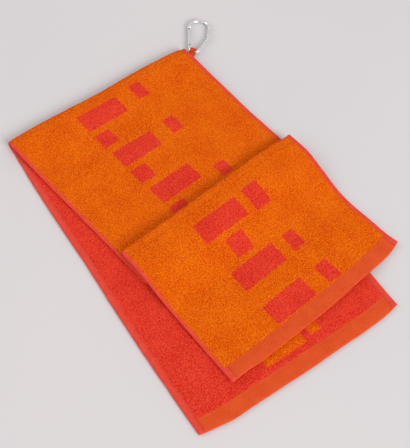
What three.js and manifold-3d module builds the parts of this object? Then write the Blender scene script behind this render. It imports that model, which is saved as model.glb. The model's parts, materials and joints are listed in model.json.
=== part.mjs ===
// A folded quick-dry terry towel with a hanging loop and a small carabiner.
// Units are millimetres and +Z is up. While it is built, the towel lies with the left end of its
// main fold near x = 0, y = 0 and its length along +X. The last lines move the origin to the
// middle of the model's box, on the surface that the towel lies on.

import * as THREE from 'three';
import { mergeVertices } from 'three/addons/utils/BufferGeometryUtils.js';
import Module from 'manifold-3d';

const wasm = await Module();
wasm.setup();

// ---------------------------------------------------------------- driving dimensions

const GAP = 0.3;            // clearance between pieces that touch
const TERRY = 4;            // thickness of the terry cloth, pile included
const SIDE_HEM = 9;         // width of the turned side hems
const SIDE_HEM_THICK = 3;
const END_HEM = 20;         // width of the flat-woven bands at the two ends
const END_HEM_THICK = 2.8;
const STITCH_WIDTH = 0.8;
const STITCH_THICK = 0.5;
const STITCH_INSET = 7.5;   // from the towel's edge to the seam of a side hem
const BAND_SEAM = 2;        // from an end band's inner edge to its seam

const MAIN_OPENING = 7;     // height of the air gap inside the main fold
const STEP_OPENING = 3.2;   // the same inside the step fold
const PLEAT_OPENING = 0.8;  // the same inside the hidden fold
const PLEAT_DEPTH = 50;     // how far the pleat reaches under the flap

const UPPER_SETTLE = 70;    // distance over which the upper leaf comes down to the lower one
const FLAP_CREST = 20;      // distance from the step fold at which the flap begins to fall
const FLAP_SETTLE = 95;     // distance over which it comes down

const ROD = 3;              // radius of the carabiner's rod
const TAPE_WIDTH = 10.5;
const BIGHT_WIDTH = 7.8;    // the tape gathers to this width in the rod's tight bend
const TAPE_THICK = 1;       // one layer of the loop's tape
const BIGHT = 4.2;          // inside radius of the tape where it holds the carabiner
const FLAT_BACK = 9.2;      // from the bight's centre back to where the tape begins to flex
const SEWN_BACK = 22;       // from the bight's centre back to the sewn end of the tape
const LIFT = 0.1;           // keeps the loop and the carabiner just off the table
const LEAF_COLUMNS = 6;     // how many strips a leaf is divided into across the towel

// Heights of the undersides of the leaves where they lie flat on each other.
const UPPER_FLOOR = TERRY + GAP;
const PLEAT_FLOOR = UPPER_FLOOR + TERRY + PLEAT_OPENING;
const FLAP_START = PLEAT_FLOOR + TERRY + STEP_OPENING;
const MAIN_AXIS_Z = TERRY + MAIN_OPENING / 2;
const STEP_AXIS_Z = PLEAT_FLOOR + TERRY + STEP_OPENING / 2;

// Corners of the leaves seen from above: the start and end of each leaf, at its left and right
// edges. The towel was folded a little askew, so the upper leaves turn away from the lower one.
const mainLine = [new THREE.Vector2(7, -0.5), new THREE.Vector2(-9.5, 307)];
const lowerEnd = [new THREE.Vector2(509, 2), new THREE.Vector2(503, 307)];
const stepUnder = [new THREE.Vector2(253, 41.5), new THREE.Vector2(207, 332)];
const stepLine = [new THREE.Vector2(258.5, 43), new THREE.Vector2(221.5, 341)];
const flapEnd = [new THREE.Vector2(478, 70.5), new THREE.Vector2(431, 366.5)];

// ---------------------------------------------------------------- materials

const finish = (color, roughness, metalness) =>
  new THREE.MeshStandardMaterial({ color, roughness, metalness });
const cloth = (color, roughness) => finish(color, roughness, 0);
const metal = (color, roughness) => finish(color, roughness, 1);
const orangeTerry = cloth(0xe0640f, 0.95);
const coralTerry = cloth(0xdf3b2a, 0.95);
const coralHem = cloth(0xf04e3c, 0.85);
const orangeBand = cloth(0xe45926, 0.8);
const coralThread = cloth(0xc8402c, 0.7);
const orangeThread = cloth(0xc84f1c, 0.7);
const orangeTape = cloth(0xc85023, 0.8);
const polished = metal(0xc9ccd0, 0.18);
const darkSteel = metal(0x5c5f63, 0.35);

// ---------------------------------------------------------------- geometry helpers

const towel = new THREE.Group();

function addMesh(parent, name, geometry, material) {
  const mesh = new THREE.Mesh(geometry, material);
  mesh.name = name;
  parent.add(mesh);
  return mesh;
}

const smooth = (t) => {
  const k = Math.min(1, Math.max(0, t));
  return k * k * (3 - 2 * k);
};

// A closed solid between two surfaces over the same (s, t) square, each surface a function that
// gives a Vector3. It is turned inside out if the surfaces were given the other way round.
function solidBetween(steps, across, upper, lower) {
  const positions = [];
  const index = [];
  const row = across + 1;
  const layer = (steps + 1) * row;
  for (const surface of [upper, lower]) {
    for (let i = 0; i <= steps; i++) {
      for (let j = 0; j <= across; j++) {
        const p = surface(i / steps, j / across);
        positions.push(p.x, p.y, p.z);
      }
    }
  }
  const quad = (a, b, c, d) => index.push(a, b, c, a, c, d);
  for (let i = 0; i < steps; i++) {
    for (let j = 0; j < across; j++) {
      const a = i * row + j;
      quad(a, a + row, a + row + 1, a + 1);
      quad(layer + a, layer + a + 1, layer + a + row + 1, layer + a + row);
    }
  }
  for (let i = 0; i < steps; i++) {
    const a = i * row;
    const b = a + across;
    quad(a, layer + a, layer + a + row, a + row);
    quad(b, b + row, layer + b + row, layer + b);
  }
  for (let j = 0; j < across; j++) {
    const b = steps * row + j;
    quad(j, j + 1, layer + j + 1, layer + j);
    quad(b, layer + b, layer + b + 1, b + 1);
  }
  if (signedVolume(positions, index) < 0) index.reverse();
  const geometry = new THREE.BufferGeometry();
  geometry.setAttribute('position', new THREE.Float32BufferAttribute(positions, 3));
  geometry.setIndex(index);
  return geometry;
}

function signedVolume(positions, index) {
  const corner = (k) => new THREE.Vector3().fromArray(positions, 3 * index[k]);
  let sum = 0;
  for (let k = 0; k < index.length; k += 3) {
    sum += corner(k).dot(corner(k + 1).cross(corner(k + 2)));
  }
  return sum / 6;
}

function toManifold(geometry) {
  const bare = geometry.clone();
  bare.deleteAttribute('normal');
  bare.deleteAttribute('uv');
  const merged = mergeVertices(bare, 1e-4);
  const mesh = new wasm.Mesh({
    numProp: 3,
    vertProperties: new Float32Array(merged.attributes.position.array),
    triVerts: new Uint32Array(merged.index.array),
  });
  return new wasm.Manifold(mesh);
}

function fromManifold(solid) {
  const mesh = solid.getMesh();
  const geometry = new THREE.BufferGeometry();
  geometry.setAttribute('position', new THREE.BufferAttribute(mesh.vertProperties, 3));
  geometry.setIndex(new THREE.BufferAttribute(mesh.triVerts, 1));
  return geometry;
}

const joined = (...parts) => fromManifold(parts.map(toManifold).reduce((a, b) => a.add(b)));
const common = (a, b) => fromManifold(toManifold(a).intersect(toManifold(b)));
const cutBy = (body, ...tools) =>
  fromManifold(tools.map(toManifold).reduce((a, b) => a.subtract(b), toManifold(body)));

// ---------------------------------------------------------------- cloth leaves

// A leaf lies between a start line and an end line. place(along, across, height) takes the
// distance from the start line and the distance from the left edge, both in millimetres.
function makeLeaf(start, end, floorAt) {
  const length = (start[0].distanceTo(end[0]) + start[1].distanceTo(end[1])) / 2;
  const width = (start[0].distanceTo(start[1]) + end[0].distanceTo(end[1])) / 2;
  const place = (along, across, height) => {
    const left = start[0].clone().lerp(end[0], along / length);
    const right = start[1].clone().lerp(end[1], along / length);
    const p = left.lerp(right, across / width);
    return new THREE.Vector3(p.x, p.y, floorAt(along) + height);
  };
  return { length, width, place };
}

// A rectangle of a leaf from one distance to another, lifted and thickened as given.
function patch(leaf, from, to, left, right, bottom, top, steps, across) {
  const at = (height) => (s, t) =>
    leaf.place(from + (to - from) * s, left + (right - left) * t, height);
  return solidBetween(steps, across, at(top), at(bottom));
}

// The side hems and their seams, which every leaf and every fold has on both edges.
function sideBands(width) {
  return [
    { side: 'left', outer: 0, inner: SIDE_HEM, seam: STITCH_INSET },
    { side: 'right', outer: width, inner: width - SIDE_HEM, seam: width - STITCH_INSET },
  ];
}

function addLeaf(name, leaf, endHem, terry, thread, steps) {
  const clothEnd = endHem ? leaf.length - END_HEM - GAP : leaf.length - GAP;
  const hemEnd = endHem ? leaf.length : leaf.length - GAP;
  const clothLeft = SIDE_HEM + GAP;
  const clothRight = leaf.width - SIDE_HEM - GAP;
  addMesh(towel, `${name}_terry`,
    patch(leaf, GAP, clothEnd, clothLeft, clothRight, 0, TERRY, steps, LEAF_COLUMNS), terry);
  for (const band of sideBands(leaf.width)) {
    const seamTop = SIDE_HEM_THICK + GAP;
    const half = STITCH_WIDTH / 2;
    addMesh(towel, `${name}_${band.side}_hem`,
      patch(leaf, GAP, hemEnd, band.outer, band.inner, 0, SIDE_HEM_THICK, steps, 1), coralHem);
    addMesh(towel, `${name}_${band.side}_stitch`,
      patch(leaf, GAP, hemEnd, band.seam - half, band.seam + half,
        seamTop, seamTop + STITCH_THICK, steps, 1), thread);
  }
  if (endHem) {
    const seam = leaf.length - END_HEM + BAND_SEAM;
    const seamTop = END_HEM_THICK + GAP;
    addMesh(towel, `${name}_end_hem`,
      patch(leaf, leaf.length - END_HEM, leaf.length, clothLeft, clothRight,
        0, END_HEM_THICK, 2, LEAF_COLUMNS), orangeBand);
    addMesh(towel, `${name}_end_stitch`,
      patch(leaf, seam, seam + STITCH_WIDTH, clothLeft, clothRight,
        seamTop, seamTop + STITCH_THICK, 1, LEAF_COLUMNS), orangeThread);
  }
}

// ---------------------------------------------------------------- folds

// A half turn of cloth about a hinge line. back is the level direction that the fold bulges in.
function makeFold(line, axisZ, opening, back) {
  const width = line[0].distanceTo(line[1]);
  const start = new THREE.Vector3(line[0].x, line[0].y, axisZ);
  const along = new THREE.Vector3(line[1].x - line[0].x, line[1].y - line[0].y, 0).normalize();
  const out = new THREE.Vector3(back.x, back.y, 0).normalize();
  // turn runs from 0 at the lower leaf to 1 at the upper one; height is measured out from
  // the air gap, so that the outer face of the cloth is at the cloth's thickness.
  const place = (turn, across, height) => {
    const angle = Math.PI * (turn - 0.5);
    const radius = opening / 2 + height;
    return start.clone()
      .addScaledVector(along, across)
      .addScaledVector(out, Math.cos(angle) * radius)
      .add(new THREE.Vector3(0, 0, Math.sin(angle) * radius));
  };
  return { width, place };
}

const FOLD_STEPS = 8;

function addFold(name, fold, terry, thread) {
  const strip = (left, right, bottom, top, across) => {
    const at = (height) => (s, t) => fold.place(s, left + (right - left) * t, height);
    return solidBetween(FOLD_STEPS, across, at(top), at(bottom));
  };
  const pile = strip(SIDE_HEM + GAP, fold.width - SIDE_HEM - GAP, 0, TERRY, 2);
  addMesh(towel, `${name}_terry`, pile, terry);
  for (const band of sideBands(fold.width)) {
    const half = STITCH_WIDTH / 2;
    const bottom = TERRY - SIDE_HEM_THICK;
    addMesh(towel, `${name}_${band.side}_hem`,
      strip(band.outer, band.inner, bottom, TERRY, 1), coralHem);
    addMesh(towel, `${name}_${band.side}_stitch`,
      strip(band.seam - half, band.seam + half, bottom - GAP - STITCH_THICK, bottom - GAP, 1), thread);
  }
}

const lineNormal = (line) => new THREE.Vector2(line[0].y - line[1].y, line[1].x - line[0].x).normalize();

// ---------------------------------------------------------------- the towel

const beyond = (from, to, extra) => to.clone().sub(from).setLength(extra).add(to);
const pleatLine = [0, 1].map((k) => beyond(mainLine[k], stepUnder[k], PLEAT_DEPTH));

const lowerLeaf = makeLeaf(mainLine, lowerEnd, () => 0);
const upperLeaf = makeLeaf(mainLine, pleatLine, (along) =>
  UPPER_FLOOR + (TERRY + MAIN_OPENING - UPPER_FLOOR) * (1 - smooth(along / UPPER_SETTLE)));
const pleatLeaf = makeLeaf(stepLine, pleatLine, () => PLEAT_FLOOR);
const flapLeaf = makeLeaf(stepLine, flapEnd, (along) =>
  UPPER_FLOOR + (FLAP_START - UPPER_FLOOR) * (1 - smooth((along - FLAP_CREST) / FLAP_SETTLE)));

addLeaf('lower', lowerLeaf, true, coralTerry, coralThread, 4);
addLeaf('upper', upperLeaf, false, orangeTerry, coralThread, 12);
addLeaf('pleat', pleatLeaf, false, coralTerry, coralThread, 2);
addLeaf('flap', flapLeaf, true, orangeTerry, coralThread, 14);

const mainFold = makeFold(mainLine, MAIN_AXIS_Z, MAIN_OPENING, lineNormal(mainLine));
const stepFold = makeFold(stepLine, STEP_AXIS_Z, STEP_OPENING, lineNormal(stepLine));
const hiddenFold = makeFold(pleatLine, UPPER_FLOOR + TERRY + PLEAT_OPENING / 2, PLEAT_OPENING,
  lineNormal(pleatLine).negate());
addFold('main_fold', mainFold, orangeTerry, coralThread);
addFold('step_fold', stepFold, orangeTerry, coralThread);
addFold('hidden_fold', hiddenFold, coralTerry, coralThread);

// ---------------------------------------------------------------- carabiner outline

// The rod's centre line runs round three circles, as a belt does: the wide end, the narrow end
// that the loop holds, and a bulge of the spine. x is the carabiner's length, y its width.
const WIDE = { x: 55.5, y: 1.2, r: 16 };
const NARROW = { x: 11.5, y: 2.5, r: 8.5 };
const SPINE = { x: 35, y: -3, r: 12.6 };

// The belt leaves each circle of a tangent line at the same angle.
function tangentAngle(from, to) {
  const distance = Math.hypot(to.x - from.x, to.y - from.y);
  return Math.atan2(to.y - from.y, to.x - from.x) - Math.acos((from.r - to.r) / distance);
}

const onCircle = (circle, angle) =>
  new THREE.Vector2(circle.x + circle.r * Math.cos(angle), circle.y + circle.r * Math.sin(angle));

const gateAngle = tangentAngle(WIDE, NARROW);
const narrowLeave = tangentAngle(NARROW, SPINE);
const spineLeave = tangentAngle(SPINE, WIDE);
const gateWide = onCircle(WIDE, gateAngle);
const gateNarrow = onCircle(NARROW, gateAngle);
const gateAlong = gateWide.clone().sub(gateNarrow).normalize();

const HINGE_FROM_NARROW = 5;  // rivet to the narrow circle's tangent point, along the gate
const NOSE_FROM_WIDE = 3.5;   // latch pin to the wide circle's tangent point
const END_CLEAR = 3.4;        // from the rivet or pin to the end of the rod proper
const hingePoint = gateNarrow.clone().addScaledVector(gateAlong, HINGE_FROM_NARROW);
const pinPoint = gateWide.clone().addScaledVector(gateAlong, -NOSE_FROM_WIDE);
const gateLength = hingePoint.distanceTo(pinPoint);

class FlatCurve extends THREE.Curve {
  constructor(path) {
    super();
    this.path = path;
  }
  getPoint(t) {
    const p = this.path.getPointAt(t);
    return new THREE.Vector3(p.x, p.y, 0);
  }
}

function rodPath() {
  const hingeEnd = hingePoint.clone().addScaledVector(gateAlong, -END_CLEAR);
  const noseEnd = pinPoint.clone().addScaledVector(gateAlong, END_CLEAR);
  const path = new THREE.Path();
  path.moveTo(hingeEnd.x, hingeEnd.y);
  path.lineTo(gateNarrow.x, gateNarrow.y);
  path.absarc(NARROW.x, NARROW.y, NARROW.r, gateAngle, narrowLeave + 2 * Math.PI, false);
  path.absarc(SPINE.x, SPINE.y, SPINE.r, narrowLeave + 2 * Math.PI, spineLeave + 2 * Math.PI, false);
  path.absarc(WIDE.x, WIDE.y, WIDE.r, spineLeave, gateAngle, false);
  path.lineTo(noseEnd.x, noseEnd.y);
  return new FlatCurve(path);
}

// ---------------------------------------------------------------- carabiner pieces

const PIN = 1.1;            // radius of the rivet and the latch pin
const TONGUE = 2;           // thickness of the flat ends of the rod
const TONGUE_RADIUS = 2.2;
const TONGUE_ROOT = 1;      // how far a tongue reaches into the rod
const SLOT = TONGUE + 2 * GAP;
const GATE = 2.8;           // radius of the gate's rod
const EYE_HEIGHT = 1.84 * GATE;
const SPRING = 1.1;
const SPRING_LENGTH = 9;
const SPRING_START = GATE + 0.8;
const BORE_END_CLEAR = 1.8; // length of the spring's bore beyond each end of the spring
const ROUND = 12;           // sides of the round pieces

function circleShape(radius, sides) {
  const shape = new THREE.Shape();
  for (let k = 0; k < sides; k++) {
    const angle = (2 * Math.PI * k) / sides;
    const x = radius * Math.cos(angle);
    const y = radius * Math.sin(angle);
    if (k === 0) shape.moveTo(x, y);
    else shape.lineTo(x, y);
  }
  shape.closePath();
  return shape;
}

// A level plate of the given outline, centred on the carabiner's plane.
function plate(shape, thickness) {
  const settings = { depth: thickness, bevelEnabled: false, curveSegments: 8 };
  const geometry = new THREE.ExtrudeGeometry(shape, settings);
  geometry.translate(0, 0, -thickness / 2);
  return geometry;
}

// Puts a piece made along +X from the rivet onto the gate's line.
function ontoGate(geometry) {
  geometry.rotateZ(Math.atan2(gateAlong.y, gateAlong.x));
  geometry.translate(hingePoint.x, hingePoint.y, 0);
  return geometry;
}

// A flat tongue from x = from to a round end about x = centre.
function tongueShape(from, centre, radius) {
  const shape = new THREE.Shape();
  const turn = Math.sign(centre - from);
  shape.moveTo(from, -turn * radius);
  shape.lineTo(centre, -turn * radius);
  shape.absarc(centre, 0, radius, -turn * Math.PI / 2, turn * Math.PI / 2, turn < 0);
  shape.lineTo(from, turn * radius);
  shape.closePath();
  return shape;
}

function carabinerFrame() {
  const rod = new THREE.ExtrudeGeometry(circleShape(ROD, ROUND), {
    steps: 64,
    extrudePath: rodPath(),
    bevelEnabled: false,
  });
  const root = END_CLEAR + TONGUE_ROOT;
  const tongue = ontoGate(plate(tongueShape(-root, 0, TONGUE_RADIUS), TONGUE));
  const nose = ontoGate(plate(tongueShape(gateLength + root, gateLength, TONGUE_RADIUS), TONGUE));
  const rivetHole = ontoGate(pinCylinder(PIN + GAP, 2 * ROD, 0));
  // The nose is open towards the inside, so that the latch pin can leave it there.
  const pinWay = plate(notchShape(), 2 * ROD);
  return cutBy(joined(rod, tongue, nose), rivetHole, ontoGate(pinWay));
}

function notchShape() {
  const radius = PIN + GAP;
  const shape = new THREE.Shape();
  shape.moveTo(gateLength - radius, -2 * ROD);
  shape.lineTo(gateLength + radius, -2 * ROD);
  shape.lineTo(gateLength + radius, 0);
  shape.absarc(gateLength, 0, radius, 0, Math.PI, false);
  shape.closePath();
  return shape;
}

function pinCylinder(radius, height, x) {
  const geometry = new THREE.CylinderGeometry(radius, radius, height, ROUND);
  geometry.rotateX(Math.PI / 2);
  geometry.translate(x, 0, 0);
  return geometry;
}

function carabinerGate() {
  const bar = new THREE.CylinderGeometry(GATE, GATE, gateLength, ROUND);
  bar.rotateZ(Math.PI / 2);
  bar.translate(gateLength / 2, 0, 0);
  const eyes = [0, gateLength].map((x) => pinCylinder(GATE, EYE_HEIGHT, x));
  const holes = [0, gateLength].map((x) => pinCylinder(PIN + GAP / 2, 3 * GATE, x));
  const slotMiddles = [-TONGUE_ROOT / 2, gateLength + TONGUE_ROOT / 2];
  const slots = slotMiddles.map((x) => {
    const slot = new THREE.BoxGeometry(2 * (GATE + TONGUE_ROOT), 3 * GATE, SLOT);
    slot.translate(x, 0, 0);
    return slot;
  });
  const boreLength = SPRING_LENGTH + 2 * BORE_END_CLEAR;
  const springBore = new THREE.CylinderGeometry(SPRING + GAP, SPRING + GAP, boreLength, ROUND);
  springBore.rotateZ(Math.PI / 2);
  springBore.translate(SPRING_START + SPRING_LENGTH / 2, 0, 0);
  return ontoGate(cutBy(joined(bar, ...eyes), ...slots, springBore, ...holes));
}

// A closed coil, drawn as a ribbed sleeve round a core.
function gateSpring() {
  const coils = 6;
  const pitch = SPRING_LENGTH / coils;
  const profile = [new THREE.Vector2(0, 0)];
  for (let k = 0; k < coils; k++) {
    profile.push(new THREE.Vector2(SPRING * 0.7, k * pitch));
    profile.push(new THREE.Vector2(SPRING, (k + 0.5) * pitch));
  }
  profile.push(new THREE.Vector2(SPRING * 0.7, SPRING_LENGTH), new THREE.Vector2(0, SPRING_LENGTH));
  const geometry = new THREE.LatheGeometry(profile, 8);
  geometry.rotateZ(-Math.PI / 2);
  geometry.translate(SPRING_START, 0, 0);
  return ontoGate(geometry);
}

// ---------------------------------------------------------------- loop and carabiner in place

const TAPE_TURN = THREE.MathUtils.degToRad(124);   // the way the loop points, seen from above
const CARABINER_TURN = THREE.MathUtils.degToRad(17);
const BIGHT_Z = BIGHT + TAPE_THICK + LIFT;
const BIGHT_OFFSET = 0.9;   // the rod bends inside the loop, so it sits off the bight's centre

const LOOP_PLACE = new THREE.Vector3(-9.1, 320.3, BIGHT_Z);   // centre of the bight
const BARTACK_ZIGS = 8;
const BARTACK_HALF = 1.2;
const BARTACK_FROM_END = 4.5;
const BARTACK_INSET = 0.75;

const loop = new THREE.Group();
loop.position.copy(LOOP_PLACE);
loop.rotation.z = TAPE_TURN;
towel.add(loop);

// Seen from the side, the loop is a ring about the rod with two layers of tape leading back.
function loopTape() {
  const outer = BIGHT + TAPE_THICK;
  const shape = new THREE.Shape();
  const leave = Math.PI - Math.asin(TAPE_THICK / outer);
  shape.moveTo(-FLAT_BACK, -TAPE_THICK);
  shape.absarc(0, 0, outer, -leave, leave, false);
  shape.lineTo(-FLAT_BACK, TAPE_THICK);
  shape.closePath();
  const hole = new THREE.Path();
  hole.absarc(0, 0, BIGHT, 0, 2 * Math.PI, true);
  shape.holes.push(hole);
  return common(acrossTape(shape, TAPE_WIDTH), plate(waistShape(outer), 4 * outer));
}

// The loop seen from above: full width at the back, gathered where the rod passes through.
function waistShape(outer) {
  const shape = new THREE.Shape();
  shape.moveTo(-FLAT_BACK - 1, -TAPE_WIDTH / 2 - 0.2);
  shape.lineTo(-ROD, -BIGHT_WIDTH / 2);
  shape.lineTo(outer + 1, -BIGHT_WIDTH / 2);
  shape.lineTo(outer + 1, BIGHT_WIDTH / 2);
  shape.lineTo(-ROD, BIGHT_WIDTH / 2);
  shape.lineTo(-FLAT_BACK - 1, TAPE_WIDTH / 2 + 0.2);
  shape.closePath();
  return shape;
}

// Extrudes a side view, with x along the tape and y up, across the tape.
function acrossTape(shape, width) {
  const settings = { depth: width, bevelEnabled: false, curveSegments: 12 };
  const geometry = new THREE.ExtrudeGeometry(shape, settings);
  geometry.translate(0, 0, -width / 2);
  geometry.rotateX(Math.PI / 2);
  return geometry;
}

function loopSeam() {
  const shape = new THREE.Shape();
  const bottom = SIDE_HEM_THICK + 2 * GAP + STITCH_THICK - BIGHT_Z;
  shape.moveTo(-SEWN_BACK, bottom);
  shape.lineTo(-FLAT_BACK - GAP, -TAPE_THICK);
  shape.lineTo(-FLAT_BACK - GAP, TAPE_THICK);
  shape.lineTo(-SEWN_BACK, bottom + 2 * TAPE_THICK);
  shape.closePath();
  return acrossTape(shape, TAPE_WIDTH);
}

// A zigzag of close stitches across the tape, as one connected thread.
function bartack() {
  const tapeTop = SIDE_HEM_THICK + STITCH_THICK + 2 * TAPE_THICK + 4 * GAP - BIGHT_Z;
  const place = (lift) => (s, t) => {
    const side = Math.round(s * BARTACK_ZIGS) % 2 ? BARTACK_HALF : -BARTACK_HALF;
    const x = BARTACK_FROM_END - SEWN_BACK + side + (t - 0.5) * STITCH_WIDTH;
    const y = (s - 0.5) * (TAPE_WIDTH - 2 * BARTACK_INSET);
    return new THREE.Vector3(x, y, tapeTop + lift);
  };
  return solidBetween(BARTACK_ZIGS, 1, place(STITCH_THICK), place(0));
}

addMesh(loop, 'loop_tape', loopTape(), orangeTape);
addMesh(loop, 'loop_seam', loopSeam(), orangeTape);
addMesh(loop, 'loop_bartack', bartack(), orangeThread);

// The wide end of the carabiner lies on the table and the narrow end in the loop, so it tilts.
const reach = (WIDE.x + WIDE.r - NARROW.x + NARROW.r) * Math.cos(CARABINER_TURN);
const tilt = Math.asin((BIGHT_Z - ROD - GAP - LIFT) / reach);
const hold = NARROW.r - BIGHT_OFFSET;

const tilted = new THREE.Group();
tilted.rotation.y = tilt;
loop.add(tilted);
const turned = new THREE.Group();
turned.rotation.z = CARABINER_TURN;
tilted.add(turned);
const carabiner = new THREE.Group();
carabiner.position.set(
  hold * Math.cos(CARABINER_TURN) - NARROW.x,
  -hold * Math.sin(CARABINER_TURN) - NARROW.y,
  0,
);
turned.add(carabiner);

addMesh(carabiner, 'carabiner_frame', carabinerFrame(), polished);
addMesh(carabiner, 'carabiner_gate', carabinerGate(), polished);
addMesh(carabiner, 'gate_rivet', ontoGate(pinCylinder(PIN, 2 * ROD, 0)), darkSteel);
addMesh(carabiner, 'gate_pin', ontoGate(pinCylinder(PIN - GAP / 2, 2 * ROD, gateLength)), darkSteel);
addMesh(carabiner, 'gate_spring', gateSpring(), darkSteel);

// ---------------------------------------------------------------- origin

const box = new THREE.Box3().setFromObject(towel, true);
const middle = box.getCenter(new THREE.Vector3());
towel.position.set(-middle.x, -middle.y, -box.min.z);

export default towel;
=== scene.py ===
"""A folded quick-dry terry towel with a hanging loop and a snap hook, built round its CAD frame.

The towel is one cloth, orange on one face and coral on the other. cloth(u, v) gives its middle
surface: u runs along the towel, from its lower end over the folds to the end of the flap, and is
0 at the main fold, and v runs across it from the left edge. Every piece of pile, hem, band and
stitching is laid out on that surface at a height h, which is positive on the orange face.
Shapes are worked out in millimetres and written to the meshes in metres.
"""

import math

import bpy
import numpy as np
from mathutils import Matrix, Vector
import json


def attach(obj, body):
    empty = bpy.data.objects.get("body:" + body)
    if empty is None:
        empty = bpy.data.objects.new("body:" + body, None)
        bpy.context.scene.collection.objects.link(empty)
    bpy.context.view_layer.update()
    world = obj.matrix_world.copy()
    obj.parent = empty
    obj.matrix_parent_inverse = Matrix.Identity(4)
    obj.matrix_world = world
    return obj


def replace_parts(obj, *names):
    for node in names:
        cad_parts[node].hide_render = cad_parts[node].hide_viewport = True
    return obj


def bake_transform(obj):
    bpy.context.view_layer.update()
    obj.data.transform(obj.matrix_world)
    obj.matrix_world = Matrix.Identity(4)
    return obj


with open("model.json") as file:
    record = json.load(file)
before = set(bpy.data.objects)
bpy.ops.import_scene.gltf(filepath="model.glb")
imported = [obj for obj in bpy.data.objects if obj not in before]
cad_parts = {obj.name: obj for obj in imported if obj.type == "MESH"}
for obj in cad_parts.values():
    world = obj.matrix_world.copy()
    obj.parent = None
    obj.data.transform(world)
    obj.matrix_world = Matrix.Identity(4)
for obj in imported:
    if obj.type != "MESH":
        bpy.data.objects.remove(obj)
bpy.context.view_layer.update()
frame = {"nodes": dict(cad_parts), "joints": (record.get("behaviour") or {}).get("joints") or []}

MM = 0.001
TINY = 0.01

# ------------------------------------------------------------------ sizes from the frame


def cad_points(node):
    """The corners of a CAD node, in millimetres."""
    mesh = frame["nodes"][node].data
    flat = np.empty(3 * len(mesh.vertices))
    mesh.vertices.foreach_get("co", flat)
    return flat.reshape(-1, 3) / MM


def cad_box(node):
    points = cad_points(node)
    return points.min(axis=0), points.max(axis=0)


def fold_line(name):
    """The left and right ends of a fold's hinge line, seen from above."""
    ends = []
    for side, sign in (("left", -1), ("right", 1)):
        points = cad_points(f"{name}_{side}_hem")
        top = points[points[:, 2] > points[:, 2].max() - TINY]
        ends.append(top[np.argmax(sign * top[:, 1])][:2])
    return np.array(ends)


def end_line(leaf):
    """The left and right corners of a leaf's free end, seen from above."""
    ends = []
    for side, sign in (("left", -1), ("right", 1)):
        points = cad_points(f"{leaf}_{side}_hem")
        ends.append(points[np.argmax(points[:, 0] + sign * points[:, 1])][:2])
    return np.array(ends)


joints = {joint["name"]: joint for joint in frame["joints"]}


def joint_place(name):
    return np.array(joints[name]["pos_m"]) / MM


def joint_axis(name):
    axis = np.array(joints[name]["axis"], float)
    return axis / np.linalg.norm(axis)


# The folds and corners of soft cloth lie a few millimetres off the CAD's straight lines.
main_line = fold_line("main_fold") + [(0.5, -1.5), (0, 2.0)]
pleat_line = fold_line("hidden_fold")
step_line = fold_line("step_fold") + [(-3.5, 1.0), (-7.5, 6.0)]
lower_end = end_line("lower") + [(0, 0), (-0.5, 3.0)]
flap_end = end_line("flap") + [(0, 0), (-0.3, 3.6)]

WIDTH = 300.0                                        # of the cloth, as it was cut
TERRY = cad_box("lower_terry")[1][2]                 # thickness of the terry, pile included
HALF = TERRY / 2
LEAF_HEIGHT = cad_box("upper_terry")[0][2] + HALF    # middle of a leaf that lies on the lower one
PLEAT_HEIGHT = cad_box("pleat_terry")[0][2] + HALF
FLAP_TOP = cad_box("flap_terry")[1][2] - HALF        # middle of the flap at its crest
MAIN_AXIS = joint_place("main_fold")[2]
STEP_AXIS = joint_place("step_fold")[2]
HIDDEN_AXIS = (LEAF_HEIGHT + PLEAT_HEIGHT) / 2

# ------------------------------------------------------------------ driving sizes, millimetres

UPPER_SETTLE = 70.0      # distance over which the upper leaf comes down on the lower one
FLAP_CREST = 20.0        # distance from the step fold at which the flap begins to fall
FLAP_SETTLE = 95.0       # distance over which it comes down
SIDE_HEM = 9.0           # width of the turned side hems on the coral face
PILE_LEFT = 3.6          # on the orange face the pile covers part of the hems
PILE_RIGHT = 5.6
SEAM = 7.5               # from the towel's edge to the seam of a side hem
END_HEM = 20.0           # width of the flat-woven bands at the two ends
BAND_SEAM = 2.0          # from a band's inner edge to its seam
WAVE_FADE = 60.0         # the waves grow over this distance from the main fold
END_BOW_REACH = 55.0     # the bowed end of a leaf is drawn out over this distance
DROOP_REACH = 30.0       # distance over which overhanging cloth comes down to the table

PILE_STEP = 1.45         # spacing of the pile's points on the side that is seen
LOWER_STEP = 1.6
BACK_SHARE = 2           # the other side's points are this many times as far apart
STITCH_PITCH = 3.0
STITCH_LENGTH = 2.5
THREAD = 0.34            # radius of the sewing thread
THREAD_SIDES = 6
SIDE_SEAM_HEIGHT = 1.45  # from the middle of the cloth to the stitches
BAND_SEAM_HEIGHT = 1.2
PILE_DEPTH = 0.8         # the loops' roots lie this far below the face of the cloth
PILE_ROUNDING = 2.2      # the pile sinks to its roots over this distance at a hem

# ------------------------------------------------------------------ repeatable noise


def smooth(t):
    k = np.clip(t, 0.0, 1.0)
    return k * k * (3 - 2 * k)


def hashed(i, j, seed):
    """A repeatable number from 0 to 1 for each pair of whole numbers."""
    i = np.asarray(i).astype(np.int64)
    j = np.asarray(j).astype(np.int64)
    n = (i * 374761393 + j * 668265263 + seed * 974711) & 0xFFFFFFFF
    n = ((n ^ (n >> 13)) * 1274126177) & 0xFFFFFFFF
    n = n ^ (n >> 16)
    return (n & 0xFFFFFF) / 0xFFFFFF


def noise(x, y, cell, seed):
    """Smooth noise from 0 to 1 with features of about the size of cell."""
    i, j = np.floor(x / cell), np.floor(y / cell)
    s, t = smooth(x / cell - i), smooth(y / cell - j)
    low = hashed(i, j, seed) * (1 - s) + hashed(i + 1, j, seed) * s
    high = hashed(i, j + 1, seed) * (1 - s) + hashed(i + 1, j + 1, seed) * s
    return low * (1 - t) + high * t


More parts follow.
